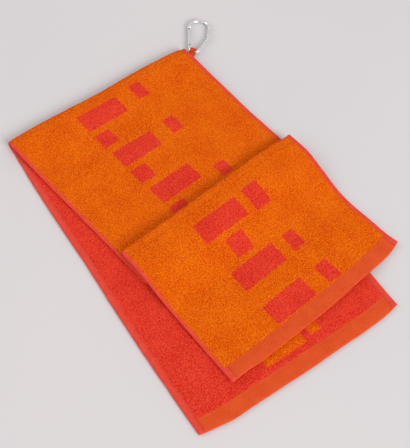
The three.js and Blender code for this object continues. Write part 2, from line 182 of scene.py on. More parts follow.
def through(*points):
    """A smooth curve through a few (share, value) points."""
    xs = np.array([p[0] for p in points], float)
    ys = np.array([p[1] for p in points], float)
    slopes = np.gradient(ys, xs)

    def curve(t):
        k = np.clip(np.searchsorted(xs, t, side="right") - 1, 0, len(xs) - 2)
        width = xs[k + 1] - xs[k]
        s = np.clip((t - xs[k]) / width, 0, 1)
        ends = ys[k] + (ys[k + 1] - ys[k]) * s * s * (3 - 2 * s)
        return ends + width * s * (1 - s) * (slopes[k] * (1 - s) - slopes[k + 1] * s)

    return curve


# ------------------------------------------------------------------ how the layers lie


def ripples(x, y, cell, depth, seed):
    """Gentle rises of the cloth over a plan position."""
    turned_x, turned_y = 0.8 * x + 0.6 * y, 0.8 * y - 0.6 * x
    fine = noise(turned_x, turned_y, 0.45 * cell, seed + 1)
    return depth * (0.7 * noise(turned_x, turned_y, cell, seed) + 0.3 * fine)


def from_main_line(x, y):
    """Distance in plan from the main fold."""
    along = main_line[1] - main_line[0]
    normal = np.array([along[1], -along[0]]) / np.linalg.norm(along)
    return (x - main_line[0][0]) * normal[0] + (y - main_line[0][1]) * normal[1]


def past_lower_edge(x, y):
    """How far a plan position lies beyond the right edge of the lower leaf."""
    along = lower_end[1] - main_line[1]
    normal = np.array([-along[1], along[0]]) / np.linalg.norm(along)
    return (x - main_line[1][0]) * normal[0] + (y - main_line[1][1]) * normal[1]


def lower_lift(x, y):
    return ripples(x, y, 150, 1.2, 11) * smooth(from_main_line(x, y) / WAVE_FADE)


def stack_lift(x, y):
    """The rise of whatever lies on the lower leaf, which sinks to the table beyond its edge."""
    fade = smooth(from_main_line(x, y) / WAVE_FADE)
    droop = (LEAF_HEIGHT - HALF) * smooth(past_lower_edge(x, y) / DROOP_REACH)
    return lower_lift(x, y) + ripples(x, y, 62, 2.0, 23) * fade - droop


def upper_height(along):
    start = MAIN_AXIS + (MAIN_AXIS - HALF)
    return LEAF_HEIGHT + (start - LEAF_HEIGHT) * (1 - smooth(along / UPPER_SETTLE))


def flap_height(along):
    fall = smooth((along - FLAP_CREST) / FLAP_SETTLE)
    return FLAP_TOP + (LEAF_HEIGHT - FLAP_TOP) * fall


def flap_lift(x, y, along):
    return stack_lift(x, y) + ripples(x, y, 48, 1.6, 37) * smooth(along / 40)


class Leaf:
    """A flat stretch of cloth between two lines, with its edges bowed a little."""

    def __init__(self, start, end, height, lift, bow_left, bow_right, bow_end=None):
        self.start, self.end = start, end
        self.height, self.lift = height, lift
        self.bow_left, self.bow_right, self.bow_end = bow_left, bow_right, bow_end
        self.length = np.linalg.norm(end - start, axis=1).mean()

    def point(self, along, across):
        share = (along / self.length)[..., None]
        t = (across / WIDTH)[..., None]
        if self.bow_end is not None:
            pull = smooth((along - self.length + END_BOW_REACH) / END_BOW_REACH)[..., None]
            share = share + self.bow_end(t) * pull / self.length
        left = self.start[0] + (self.end[0] - self.start[0]) * share
        right = self.start[1] + (self.end[1] - self.start[1]) * share
        side = (right - left) / np.linalg.norm(right - left, axis=-1, keepdims=True)
        bow = self.bow_left(share) * (1 - t) + self.bow_right(share) * t
        plan = left + (right - left) * t + side * bow
        x, y = plan[..., 0], plan[..., 1]
        z = self.height(along) + self.lift(x, y, along)
        return np.stack([x, y, z], axis=-1)


class Fold:
    """A half turn of cloth about a hinge line, bulging to the side that out names."""

    def __init__(self, line, axis_height, radius, out, lift, bulge):
        self.line, self.axis_height, self.radius = line, axis_height, radius
        self.lift, self.bulge = lift, bulge
        reach = radius + bulge(np.linspace(0, WIDTH, 50)).mean()
        self.length = math.pi * math.sqrt((radius ** 2 + reach ** 2) / 2)
        along = line[1] - line[0]
        self.out = out * np.array([along[1], -along[0]]) / np.linalg.norm(along)

    def point(self, along, across):
        angle = math.pi * (along / self.length - 0.5)
        t = (across / WIDTH)[..., None]
        foot = self.line[0] + (self.line[1] - self.line[0]) * t
        reach = np.cos(angle) * (self.radius + self.bulge(across))
        plan = foot + self.out * reach[..., None]
        z = self.axis_height + np.sin(angle) * self.radius
        z = z + self.lift(foot[..., 0], foot[..., 1], 0 * along)
        return np.stack([plan[..., 0], plan[..., 1], z], axis=-1)


def straight(share):
    return 0.0 * share


def stack(x, y, along):
    return stack_lift(x, y)


MAIN_SWELL = through((0, 1.5), (0.1, 3.6), (0.5, 3.4), (0.84, 6.4), (0.95, 5.0), (1, 1.8))

lower_leaf = Leaf(
    main_line, lower_end, lambda along: HALF + 0 * along, lambda x, y, along: lower_lift(x, y),
    bow_left=through((0, 0), (0.22, -2.4), (0.45, -1.4), (0.66, -2.6), (1, 0)),
    bow_right=straight,
    bow_end=through((0, 0), (0.08, 5.0), (0.3, 7.2), (0.55, 7.2), (0.8, 6.2), (0.93, 3.6), (1, 0)),
)
upper_leaf = Leaf(
    main_line, pleat_line, upper_height, stack,
    bow_left=straight,
    bow_right=through((0, 0), (0.2, 1.9), (0.55, 2.6), (0.8, 5.0), (1, 0)),
)
pleat_leaf = Leaf(
    pleat_line, step_line, lambda along: PLEAT_HEIGHT + 0 * along, stack, straight, straight,
)
flap_leaf = Leaf(
    step_line, flap_end, flap_height, flap_lift,
    bow_left=straight,
    bow_right=through(
        (0, 0), (0.15, 0.6), (0.35, -2.6), (0.55, -6.4), (0.78, -4.8), (0.92, -2.6), (1, 0),
    ),
    bow_end=through((0, 0), (0.25, 5.0), (0.55, 8.2), (0.82, 7.2), (0.93, 4.5), (1, 0)),
)
main_fold = Fold(
    main_line, MAIN_AXIS, MAIN_AXIS - HALF, -1, lambda x, y, along: 0 * x,
    bulge=lambda v: 1.2 * noise(v, 0 * v, 70, 5) - 0.6 + MAIN_SWELL(v / WIDTH),
)
hidden_fold = Fold(
    pleat_line, HIDDEN_AXIS, HIDDEN_AXIS - LEAF_HEIGHT, 1, stack, bulge=lambda v: 0 * v,
)
step_fold = Fold(
    step_line, STEP_AXIS, STEP_AXIS - PLEAT_HEIGHT, -1, stack,
    bulge=lambda v: 1.6 * noise(v, 0 * v, 55, 8) - 0.5,
)


class Run:
    """A leaf or fold with its place along the towel. The lower leaf runs towards its fold."""

    def __init__(self, surface, begin, backwards=False):
        self.surface, self.begin, self.backwards = surface, begin, backwards
        self.end = begin + surface.length

    def point(self, u, v):
        along = self.end - u if self.backwards else u - self.begin
        return self.surface.point(along, v)


lower_run = Run(lower_leaf, -lower_leaf.length, backwards=True)
main_run = Run(main_fold, 0.0)
upper_run = Run(upper_leaf, main_run.end)
hidden_run = Run(hidden_fold, upper_run.end)
pleat_run = Run(pleat_leaf, hidden_run.end)
step_run = Run(step_fold, pleat_run.end)
flap_run = Run(flap_leaf, step_run.end)
RUNS = (lower_run, main_run, upper_run, hidden_run, pleat_run, step_run, flap_run)


def cloth(u, v):
    """Points of the towel's middle surface, which goes on straight past its two ends."""
    points = np.zeros(u.shape + (3,))
    for run in RUNS:
        first, last = run is RUNS[0], run is RUNS[-1]
        mask = ((u >= run.begin) | first) & ((u < run.end) | last)
        if mask.any():
            points[mask] = run.point(u[mask], v[mask])
    return points


def on_cloth(u, v, h):
    """Points at a height over the middle surface, on the orange side where h is positive."""
    u, v, h = np.broadcast_arrays(u, v, h)
    u, v, h = u.astype(float), v.astype(float), h.astype(float)
    step = 0.15
    along = cloth(u + step, v) - cloth(u - step, v)
    across = cloth(u, v + step) - cloth(u, v - step)
    normal = np.cross(along, across)
    normal /= np.linalg.norm(normal, axis=-1, keepdims=True)
    return cloth(u, v) + normal * h[..., None]


# ------------------------------------------------------------------ the woven pattern

# Plain blocks in the other colour: (from, to) along the leaf from its fold, then (from, to)
# across the towel. Both faces show them, with the two colours changed over.
UPPER_BLOCKS = [
    ((14, 46), (97, 163)), ((56, 82), (97, 121)), ((9, 38), (188, 206)),
    ((95, 126), (98, 163)), ((136, 163), (98, 123)), ((91, 120), (187, 206)),
    ((175, 207), (99, 167)), ((217, 246), (99, 125)), ((203, 226), (190, 209)),
]
FLAP_BLOCKS = [
    ((26, 64), (181, 207)), ((28, 60), (95, 168)), ((70, 100), (118, 146)),
    ((110, 143), (95, 168)), ((112, 140), (185, 205)), ((172, 200), (95, 162)),
    ((174, 200), (186, 207)),
]
LOWER_BLOCKS = [
    ((436, 480), (114, 174)), ((450, 476), (184, 199)),
]
BLOCK_CORNER = 1.5
FAR_FROM_BLOCKS = 20.0


def block_distance(u, v):
    """Distance to the nearest block, which is negative inside it."""
    nearest = np.full(np.shape(u), FAR_FROM_BLOCKS)
    places = ((lower_run, LOWER_BLOCKS), (upper_run, UPPER_BLOCKS), (flap_run, FLAP_BLOCKS))
    for run, blocks in places:
        along = run.end - u if run.backwards else u - run.begin
        for (a0, a1), (v0, v1) in blocks:
            p = np.abs(along - (a0 + a1) / 2) - (a1 - a0) / 2 + BLOCK_CORNER
            q = np.abs(v - (v0 + v1) / 2) - (v1 - v0) / 2 + BLOCK_CORNER
            outside = np.hypot(np.maximum(p, 0), np.maximum(q, 0))
            inside = np.minimum(np.maximum(p, q), 0)
            nearest = np.minimum(nearest, outside + inside - BLOCK_CORNER)
    return nearest


# ------------------------------------------------------------------ meshes


def add_object(name, points, faces, material):
    mesh = bpy.data.meshes.new(name)
    mesh.from_pydata((np.asarray(points).reshape(-1, 3) * MM).tolist(), [], faces)
    mesh.materials.append(material)
    made = bpy.data.objects.new(name, mesh)
    bpy.context.scene.collection.objects.link(made)
    return made


def shade(made, flat_faces=()):
    mesh = made.data
    mesh.polygons.foreach_set("use_smooth", np.ones(len(mesh.polygons), bool))
    for index in flat_faces:
        mesh.polygons[index].use_smooth = False


def volume_sign(points, faces):
    """The sign of the volume that a closed mesh of triangles and quads holds."""
    total = 0.0
    for size in (3, 4):
        chosen = np.array([face for face in faces if len(face) == size])
        if len(chosen) == 0:
            continue
        a, b, c = points[chosen[:, 0]], points[chosen[:, 1]], points[chosen[:, 2]]
        total += (a * np.cross(b, c)).sum()
        if size == 4:
            total += (a * np.cross(c, points[chosen[:, 3]])).sum()
    return math.copysign(1, total)


def zip_faces(top, bottom):
    """Triangles that close the space between two chains of vertices with common ends."""
    faces = []
    i = j = 0
    while i < len(top) - 1 or j < len(bottom) - 1:
        ahead = (i + 1) / len(top) <= (j + 1) / len(bottom)
        if j == len(bottom) - 1 or (ahead and i < len(top) - 1):
            face = (top[i], top[i + 1], bottom[j])
            i += 1
        else:
            face = (top[i], bottom[j + 1], bottom[j])
            j += 1
        if len(set(face)) == 3:
            faces.append(face)
    return faces


def loft(name, points, top_count, material):
    """A closed mesh through sections. Each section is a loop whose first top_count points are
    its upper side, and the rest, going back, its lower side."""
    count, size = points.shape[:2]
    i, k = np.meshgrid(np.arange(count - 1), np.arange(size), indexing="ij")
    after = (k + 1) % size
    quads = np.stack([i * size + k, i * size + after, (i + 1) * size + after, (i + 1) * size + k], -1)
    top = list(range(top_count))
    bottom = [0] + list(range(size - 1, top_count - 1, -1)) + [top_count - 1]
    cap = zip_faces(top, bottom)
    last = (count - 1) * size
    faces = quads.reshape(-1, 4).tolist()
    faces += [tuple(reversed(face)) for face in cap]
    faces += [tuple(vertex + last for vertex in face) for face in cap]
    flat = points.reshape(-1, 3)
    if volume_sign(flat, faces) < 0:
        faces = [tuple(reversed(face)) for face in faces]
    made = add_object(name, flat, faces, material)
    caps = range(len(faces) - 2 * len(cap), len(faces))
    shade(made, caps)
    return made


def write_cloth_map(made, u, v):
    """The place on the flat cloth, in metres, as the UV map that the materials read."""
    mesh = made.data
    layer = mesh.uv_layers.new(name="cloth")
    vertex = np.empty(len(mesh.loops), int)
    mesh.loops.foreach_get("vertex_index", vertex)
    flat = np.stack([np.ravel(u), np.ravel(v)], axis=-1) * MM
    layer.uv.foreach_set("vector", flat[vertex].astype(np.float32).ravel())


def write_value(made, name, values):
    attribute = made.data.attributes.new(name, "FLOAT", "POINT")
    attribute.data.foreach_set("value", np.ravel(values).astype(np.float32))


# ------------------------------------------------------------------ materials


def linear(red, green, blue):
    """A colour given as 8-bit screen values."""
    parts = []
    for value in (red / 255, green / 255, blue / 255):
        parts.append(value / 12.92 if value <= 0.04045 else ((value + 0.055) / 1.055) ** 2.4)
    return (*parts, 1.0)


class Paint:
    """A material with short names for the nodes that are used here."""

    def __init__(self, name, **values):
        self.material = bpy.data.materials.new(name)
        self.material.use_nodes = True
        self.tree = self.material.node_tree
        self.shader = self.tree.nodes["Principled BSDF"]
        for socket, value in values.items():
            self.shader.inputs[socket.replace("_", " ")].default_value = value

    def add(self, kind, inputs, **settings):
        made = self.tree.nodes.new(kind)
        for key, value in settings.items():
            setattr(made, key, value)
        for key, value in inputs.items():
            if isinstance(value, bpy.types.NodeSocket):
                self.tree.links.new(value, made.inputs[key])
            else:
                made.inputs[key].default_value = value
        return made

    def uv(self):
        return self.add("ShaderNodeUVMap", {}, uv_map="cloth").outputs["UV"]

    def place(self):
        return self.add("ShaderNodeTexCoord", {}).outputs["Object"]

    def value(self, name):
        return self.add("ShaderNodeAttribute", {}, attribute_name=name).outputs["Fac"]

    def noise(self, vector, scale, detail=2.0, roughness=0.5):
        inputs = {"Vector": vector, "Scale": scale, "Detail": detail, "Roughness": roughness}
        return self.add("ShaderNodeTexNoise", inputs).outputs["Fac"]

    def cells(self, vector, scale):
        return self.add("ShaderNodeTexVoronoi", {"Vector": vector, "Scale": scale}).outputs["Distance"]

    def waves(self, vector, scale, direction, distortion=0.0):
        inputs = {"Vector": vector, "Scale": scale, "Distortion": distortion}
        made = self.add("ShaderNodeTexWave", inputs, bands_direction=direction)
        return made.outputs["Fac"]

    def sum(self, a, b, operation="ADD"):
        return self.add("ShaderNodeMath", {0: a, 1: b}, operation=operation).outputs[0]

    def span(self, value, low, high, to_low, to_high):
        inputs = {"Value": value, "From Min": low, "From Max": high, "To Min": to_low, "To Max": to_high}
        return self.add("ShaderNodeMapRange", inputs).outputs["Result"]

    def mix(self, share, a, b, blend="MIX"):
        made = self.add("ShaderNodeMix", {}, data_type="RGBA", blend_type=blend)
        for index, value in ((0, share), (6, a), (7, b)):
            if isinstance(value, bpy.types.NodeSocket):
                self.tree.links.new(value, made.inputs[index])
            else:
                made.inputs[index].default_value = value
        return made.outputs[2]

    def bump(self, height, distance, strength=1.0, under=None):
        inputs = {"Height": height, "Distance": distance, "Strength": strength}
        if under is not None:
            inputs["Normal"] = under
        return self.add("ShaderNodeBump", inputs).outputs["Normal"]

    def finish(self, color=None, roughness=None, normal=None):
        for name, socket in (("Base Color", color), ("Roughness", roughness), ("Normal", normal)):
            if socket is not None:
                self.tree.links.new(socket, self.shader.inputs[name])
        return self.material


# Each terry colour runs from DEEP to LIGHT, mixed by the painted shade and highlight of the loops and by
# broad patches of painted shade.
ORANGE_DEEP = linear(206, 44, 0)
ORANGE_LIGHT = linear(255, 132, 12)
CORAL_DEEP = linear(200, 18, 18)
CORAL_LIGHT = linear(253, 83, 57)


def terry_paint(name):
    """Looped pile in two colours, with the woven blocks changed over on the coral face. Its colour holds
    painted shade between the loops, where the pile is low and in broad patches, and painted highlight on
    the loop tips.
    """
    paint = Paint(name, Sheen_Weight=0.05, Sheen_Roughness=0.5, Specular_IOR_Level=0.05)
    paint.shader.inputs["Sheen Tint"].default_value = (1.0, 0.5, 0.25, 1.0)
    at = paint.uv()
    mottle = paint.noise(at, 24, 3, 0.6)
    speckle = paint.noise(at, 470, 1, 0.6)
    grain = paint.noise(at, 880, 0, 0.5)
    loops = paint.cells(at, 700)
    # Painted shade: broad lighter and darker patches that stand in for the shading of the cloth's soft
    # unevenness.
    mottle_shade = paint.span(mottle, 0.3, 0.7, -0.07, 0.15)
    # Painted shade in the gaps between the loops and painted highlight on the loop tips.
    gap_shade = paint.span(speckle, 0.38, 0.62, 0.0, 0.42)
    tip_highlight = paint.span(grain, 0.36, 0.64, 0.0, 0.46)
    # Painted shade where the pile stands low, taken from the pile's height.
    raised = paint.span(paint.value("pile"), 0.15, 0.85, 0.0, 0.24)
    shade = paint.sum(paint.sum(mottle_shade, gap_shade), paint.sum(tip_highlight, raised))
    shade = paint.sum(shade, 0.12, "SUBTRACT")
    orange = paint.mix(shade, ORANGE_DEEP, ORANGE_LIGHT)
    coral = paint.mix(shade, CORAL_DEEP, CORAL_LIGHT)
    ragged = paint.span(paint.noise(at, 380, 2, 0.6), 0.2, 0.8, -1.8, 1.8)
    block = paint.span(paint.sum(paint.value("block"), ragged), -0.5, 0.5, 1.0, 0.0)
    face = paint.span(paint.value("face"), 0.45, 0.55, 0.0, 1.0)
    both = paint.sum(block, face, "MULTIPLY")
    neither = paint.sum(paint.sum(1.0, block, "SUBTRACT"), paint.sum(1.0, face, "SUBTRACT"), "MULTIPLY")
    color = paint.mix(paint.sum(both, neither), orange, coral)
    roughness = paint.span(speckle, 0.3, 0.7, 0.82, 0.98)
    tufts = paint.bump(loops, 0.0008, 1.0)
    return paint.finish(color, roughness, paint.bump(speckle, 0.0012, 1.0, tufts))


def woven_paint(name, deep, light, across, along, sheen=0.12):
    """Flat cloth with a fine rib, worn lighter here and there."""
    paint = Paint(name, Sheen_Weight=sheen, Sheen_Roughness=0.45, Specular_IOR_Level=0.1)
    paint.shader.inputs["Sheen Tint"].default_value = (1.0, 0.5, 0.3, 1.0)
    at = paint.uv()
    rib = paint.waves(at, across, "X", 0.6)
    pick = paint.waves(at, along, "Y", 0.6)
    patch = paint.noise(at, 60, 3, 0.6)
    fluff = paint.noise(at, 700, 2, 0.6)
    shade = paint.span(paint.sum(paint.sum(rib, pick, "MULTIPLY"), paint.sum(patch, fluff)), 0.6, 1.7, 0, 1)
    color = paint.mix(shade, deep, light)
    roughness = paint.span(fluff, 0.3, 0.7, 0.72, 0.92)
    weave = paint.bump(paint.sum(rib, pick), 0.00025, 0.7)
    return paint.finish(color, roughness, paint.bump(fluff, 0.0003, 0.6, weave))


def thread_paint(name, deep, light):
    """Twisted sewing thread."""
    paint = Paint(name, Sheen_Weight=0.2, Sheen_Roughness=0.35, Specular_IOR_Level=0.35)
    at = paint.place()
    twist = paint.waves(at, 900, "DIAGONAL", 1.0)
    fluff = paint.noise(at, 1500, 2, 0.6)
    color = paint.mix(paint.span(paint.sum(twist, fluff), 0.4, 1.6, 0.0, 1.0), deep, light)
    roughness = paint.span(fluff, 0.3, 0.7, 0.55, 0.8)
    return paint.finish(color, roughness, paint.bump(twist, 0.0002, 0.7))


def metal_paint(name, deep, light, low, high, scratch):
    """Polished or satin metal with fine handling marks."""
    paint = Paint(name, Metallic=1.0)
    at = paint.place()
    marks = paint.noise(at, 2600, 4, 0.7)
    cloud = paint.noise(at, 120, 3, 0.6)
    color = paint.mix(paint.span(cloud, 0.3, 0.7, 0.0, 1.0), deep, light)
    roughness = paint.span(paint.sum(marks, cloud), 0.6, 1.4, low, high)
    return paint.finish(color, roughness, paint.bump(marks, 0.00004, scratch))


terry = terry_paint("terry")
hem_cloth = woven_paint("coral hem", linear(234, 50, 38), linear(255, 94, 74), 900, 620, 0.06)
band_cloth = woven_paint("orange band", linear(218, 62, 22), linear(252, 102, 48), 480, 900, 0.04)
tape_cloth = woven_paint("orange tape", linear(196, 62, 22), linear(236, 92, 40), 620, 900, 0.05)
coral_thread = thread_paint("coral thread", linear(190, 40, 34), linear(226, 70, 52))
orange_thread = thread_paint("orange thread", linear(214, 84, 34), linear(244, 124, 66))
chrome = metal_paint("polished metal", (0.86, 0.87, 0.88, 1), (0.97, 0.97, 0.98, 1), 0.05, 0.16, 0.12)
steel = metal_paint("dark steel", (0.05, 0.05, 0.055, 1), (0.14, 0.14, 0.15, 1), 0.28, 0.45, 0.3)

# ------------------------------------------------------------------ terry


def pile(u, v, seed):
    """The uneven height of the loops."""
    single = hashed(np.round(2 * u), np.round(2 * v), seed)
    return 0.55 * single + 0.35 * noise(u, v, 3.6, seed + 1)


def spread(start, end, step):
    return np.linspace(start, end, max(2, int(round(abs(end - start) / step))) + 1)


def add_terry(name, u0, u1, step, seen, nodes):
    """The pile-covered cloth between the side hems. Points lie closer on the face that is seen."""
    orange_step = step if seen == "orange" else step * BACK_SHARE
    coral_step = step if seen == "coral" else step * BACK_SHARE
    over = spread(PILE_LEFT, WIDTH - PILE_RIGHT, orange_step)
    under = spread(WIDTH - SIDE_HEM, SIDE_HEM, coral_step)
    rows = spread(u0, u1, step)
    u, v = np.meshgrid(rows, np.concatenate([over, under]), indexing="ij")
    face = np.concatenate([np.ones(len(over)), np.zeros(len(under))])
    from_left = v - np.where(face > 0, PILE_LEFT, SIDE_HEM)
    from_right = WIDTH - v - np.where(face > 0, PILE_RIGHT, SIDE_HEM)
    edge = smooth(np.minimum(from_left, from_right) / PILE_ROUNDING)
    raised = pile(u, v, 3)
    height = (HALF - PILE_DEPTH + raised) * (0.62 + 0.38 * edge)
    h = height * np.where(face > 0, 1, -1)
    wander = hashed(np.round(2 * v), np.round(2 * u), 9) - 0.5
    v = v + 0.8 * wander * (1 - edge)
    from_band = np.minimum(u - lower_run.begin, flap_run.end - u) - END_HEM
    u = u + 1.6 * wander * (1 - smooth(from_band / 2))
    made = loft(name, on_cloth(u, v, h), len(over), terry)
    write_cloth_map(made, u, v)
    write_value(made, "block", block_distance(u, v))
    # The pile's height, which the terry material also turns into painted shade where the pile is low.
    write_value(made, "pile", raised / 0.9)
    write_value(made, "face", np.broadcast_to(face, u.shape))
    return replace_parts(made, *nodes)


# ------------------------------------------------------------------ hems, bands and stitching

HEM_ORANGE = ((8.6, 0.7), (6.0, 1.05), (4.0, 1.30), (2.0, 1.45), (0.7, 1.05))
HEM_CORAL = ((0.0, 0.0), (0.7, -1.05), (2.0, -1.55), (4.5, -1.70), (6.6, -1.55), (SEAM, -1.15),
             (8.4, -1.5), (9.0, -0.9))


def from_side(side, v):
    return v if side == "left" else WIDTH - v


def taper(u):
    """Rounds a hem off where the towel ends."""
    to_end = np.minimum(u - lower_run.begin, flap_run.end - u)
    return 0.45 + 0.55 * np.sqrt(np.clip(to_end / 1.6, 0, 1))


def add_hem(name, side, u0, u1, nodes):
    """A turned hem: a flattened roll with a groove where it is sewn down."""
    section = np.array(HEM_ORANGE + HEM_CORAL)
    rows = spread(u0, u1, 1.5)
    u, across = np.meshgrid(rows, section[:, 0], indexing="ij")
    h = section[:, 1] * taper(u)
    pucker = 0.16 * np.sin(2 * math.pi * u / (2 * STITCH_PITCH)) * np.exp(-(((across - 6) / 3) ** 2))
    swell = 0.5 * noise(u, 0 * u, 14, 61 if side == "left" else 67) - 0.25
    h = h * (1 + 0.12 * swell) + pucker * np.sign(section[:, 1])
    across = across + swell * (1 - across / SIDE_HEM)
    v = from_side(side, across)
    made = loft(name, on_cloth(u, v, h), len(HEM_ORANGE), hem_cloth)
    write_cloth_map(made, u, v)
    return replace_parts(made, *nodes)


def add_stitches(name, u, v, h, material, nodes):
    """A row of lockstitches. Each row of u and v holds the points along one stitch."""
    share = np.linspace(-1, 1, u.shape[1])
    dip = 0.34 * share ** 4
    middle = on_cloth(u, v, h - np.sign(h) * dip)
    above = on_cloth(u, v, h + 0.5 * np.sign(h))
    along = np.gradient(middle, axis=1)
    along /= np.linalg.norm(along, axis=-1, keepdims=True)
    up = above - middle
    up -= along * (up * along).sum(axis=-1, keepdims=True)
    up /= np.linalg.norm(up, axis=-1, keepdims=True)
    side = np.cross(along, up)
    radius = THREAD * np.sqrt(np.clip(1.05 - share ** 2, 0.05, 1))
    turn = np.arange(THREAD_SIDES) * 2 * math.pi / THREAD_SIDES
    ring = up[:, :, None] * np.cos(turn)[:, None] + side[:, :, None] * np.sin(turn)[:, None]
    points = middle[:, :, None] + ring * radius[:, None, None]
    rings = u.shape[1]
    faces = []
    for stitch in range(len(u)):
        base = stitch * rings * THREAD_SIDES
        for row in range(rings - 1):
            first = base + row * THREAD_SIDES
            for k in range(THREAD_SIDES):
                a, b = first + k, first + (k + 1) % THREAD_SIDES
                faces.append((a, b, b + THREAD_SIDES, a + THREAD_SIDES))
        last = base + (rings - 1) * THREAD_SIDES
        faces.append(tuple(base + k for k in reversed(range(THREAD_SIDES))))
        faces.append(tuple(last + k for k in range(THREAD_SIDES)))
    flat = points.reshape(-1, 3)
    if volume_sign(flat, faces) < 0:
        faces = [tuple(reversed(face)) for face in faces]
    made = add_object(name, flat, faces, material)
    shade(made)
    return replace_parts(made, *nodes)


def stitch_places(start, end):
    """Points along each stitch of a row, one row of the array for each stitch."""
    count = max(1, int(round((end - start) / STITCH_PITCH)))
    middles = start + (np.arange(count) + 0.5) * (end - start) / count
    return middles[:, None] + np.linspace(-0.5, 0.5, 5) * STITCH_LENGTH


def add_side_stitches(name, side, u0, u1, nodes):
    u = stitch_places(u0, u1)
    v = from_side(side, SEAM + 0 * u)
    return add_stitches(name, u, v, 0 * u - SIDE_SEAM_HEIGHT, coral_thread, nodes)


BAND_ROWS = ((0.0, 0.35), (0.5, 0.95), (1.4, 1.3), (4.0, 1.38), (8.0, 1.4), (12.0, 1.4), (15.5, 1.38),
             (17.2, 1.25), (18.0, 1.02), (18.8, 1.22), (19.6, 1.2), (21.6, 0.6))


def add_band(name, end, sign, nodes):
    """A flat-woven band across an end of the towel. Its rows are distances from that end."""
    rows = np.array(BAND_ROWS)
    over = spread(SIDE_HEM - 0.6, WIDTH - SIDE_HEM + 0.6, 2.0)
    across = np.concatenate([over, over[::-1]])
    face = np.concatenate([np.ones(len(over)), -np.ones(len(over))])
    inward, v = np.meshgrid(rows[:, 0], across, indexing="ij")
    swell = 1 + 0.22 * (noise(v, inward, 9, 71) - 0.5)
    h = rows[:, 1][:, None] * face * swell
    edge_wave = noise(v, 0 * v, 24, 73) - 0.5
    u = end + sign * (inward + 1.2 * edge_wave * smooth(1 - inward / 8))
    made = loft(name, on_cloth(u, v, h), len(over), band_cloth)
    write_cloth_map(made, u, v)
    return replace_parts(made, *nodes)


def add_band_stitches(name, end, sign, nodes):
    """The seam of a band, with a row of stitches on each face."""
    v = stitch_places(SIDE_HEM + 0.5, WIDTH - SIDE_HEM - 0.5)
    v = np.concatenate([v, v])
    h = np.repeat([BAND_SEAM_HEIGHT, -BAND_SEAM_HEIGHT], len(v) // 2)[:, None] + 0 * v
    u = end + sign * (END_HEM - BAND_SEAM) + 0 * v
    return add_stitches(name, u, v, h, orange_thread, nodes)


# ------------------------------------------------------------------ the towel, piece by piece

STEP_ROLL = 10.0         # the step fold's piece reaches this far onto the flap, past its hinge


def bend_main(made):
    """Works out the ends of a bend about the main fold's hinge, which are not used, and bakes the piece in
    place.
    """
    x, y, z = joint_place("main_fold")
    reach = MAIN_AXIS - TERRY
    start, end = ((x, y, z - reach), (x, y, z + reach))
    tuple(np.array(start) * MM)
    tuple(np.array(end) * MM)
    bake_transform(made)


def bend_step(made):
    """The roll lies in front of the hinge. The direction across the hinge, towards the flap, is worked out
    but not used, and the piece is baked in place."""
    x, y, z = joint_place("step_fold")
    across = np.cross(joint_axis("step_fold"), (0, 0, 1))
    across *= math.copysign(1, across[0])
    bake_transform(made)


def fasten(made, part):
    """Hangs a piece on its body; the piece of a fold is only baked in place."""
    if part == "main_fold":
        return bend_main(made)
    if part == "step_fold":
        return bend_step(made)
    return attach(made, {"lower": "lower_leaf", "upper": "upper_leaf", "flap": "top_flap"}[part])


PARTS = (
    ("lower", lower_run.begin, 0.0, LOWER_STEP, "coral", ("lower",)),
    ("main_fold", 0.0, main_run.end, PILE_STEP, "orange", ("main_fold",)),
    ("upper", main_run.end, pleat_run.end, PILE_STEP, "orange", ("upper", "hidden_fold", "pleat")),
    ("step_fold", pleat_run.end, step_run.end + STEP_ROLL, PILE_STEP, "orange", ("step_fold",)),
    ("flap", step_run.end + STEP_ROLL, flap_run.end, PILE_STEP, "orange", ("flap",)),
)

for part, u0, u1, step, seen, sources in PARTS:
    extra = []
    for side in ("left", "right"):
        hem = add_hem(f"{part}_{side}_edge", side, u0, u1, [f"{s}_{side}_hem" for s in sources])
        stitches = add_side_stitches(
            f"{part}_{side}_seam", side, u0, u1, [f"{s}_{side}_stitch" for s in sources],
        )
        extra += [hem, stitches]
    start = u0 + END_HEM if part == "lower" else u0
    stop = u1 - END_HEM if part == "flap" else u1
    pile_cloth = add_terry(
        f"{part}_cloth", start, stop, step, seen, [f"{s}_terry" for s in sources],
    )
    if part in ("lower", "flap"):
        end, sign = (u0, 1) if part == "lower" else (u1, -1)
        extra.append(add_band(f"{part}_band", end, sign, [f"{part}_end_hem"]))
        extra.append(add_band_stitches(f"{part}_band_seam", end, sign, [f"{part}_end_stitch"]))
    for made in (pile_cloth, *extra):
        fasten(made, part)

# ------------------------------------------------------------------ hanging loop

BIGHT = joint_place("carabiner_swing")               # the middle of the ring of tape
TAPE_ACROSS = joint_axis("carabiner_swing")
TAPE_OUT = np.array([-TAPE_ACROSS[1], TAPE_ACROSS[0], 0.0])
UP = np.array([0.0, 0.0, 1.0])
RING = 4.7               # radius of the middle of the tape round the rod
TAPE_HALF = 0.45         # half the thickness of the tape
TAPE_WIDTH = 10.5
BIGHT_WIDTH = 9.4        # the tape gathers to this width round the rod
SEWN_END = -22.0         # from the middle of the ring back to the end of the tape


def tape_line():
    """The tape seen from its edge: out along the lower layer, round the rod, and back."""
    ring = np.radians(np.linspace(-160, 160, 41))
    start = [(SEWN_END, -0.75), (-19.0, -0.6), (-16.0, -0.45), (-13.0, -0.5), (-10.0, -0.5), (-8.0, -0.55)]
    path = start + [(RING * math.cos(a), RING * math.sin(a)) for a in ring]
    path += [(x, z + 1.1) for x, z in reversed(start)]
    line = np.array(path)
    share = np.concatenate([[0], np.cumsum(np.linalg.norm(np.diff(line, axis=0), axis=1))])
    even = np.linspace(0, share[-1], 150)
    line = np.stack([np.interp(even, share, line[:, 0]), np.interp(even, share, line[:, 1])], axis=-1)
    for _ in range(12):
        line[1:-1] = 0.25 * line[:-2] + 0.5 * line[1:-1] + 0.25 * line[2:]
    return line


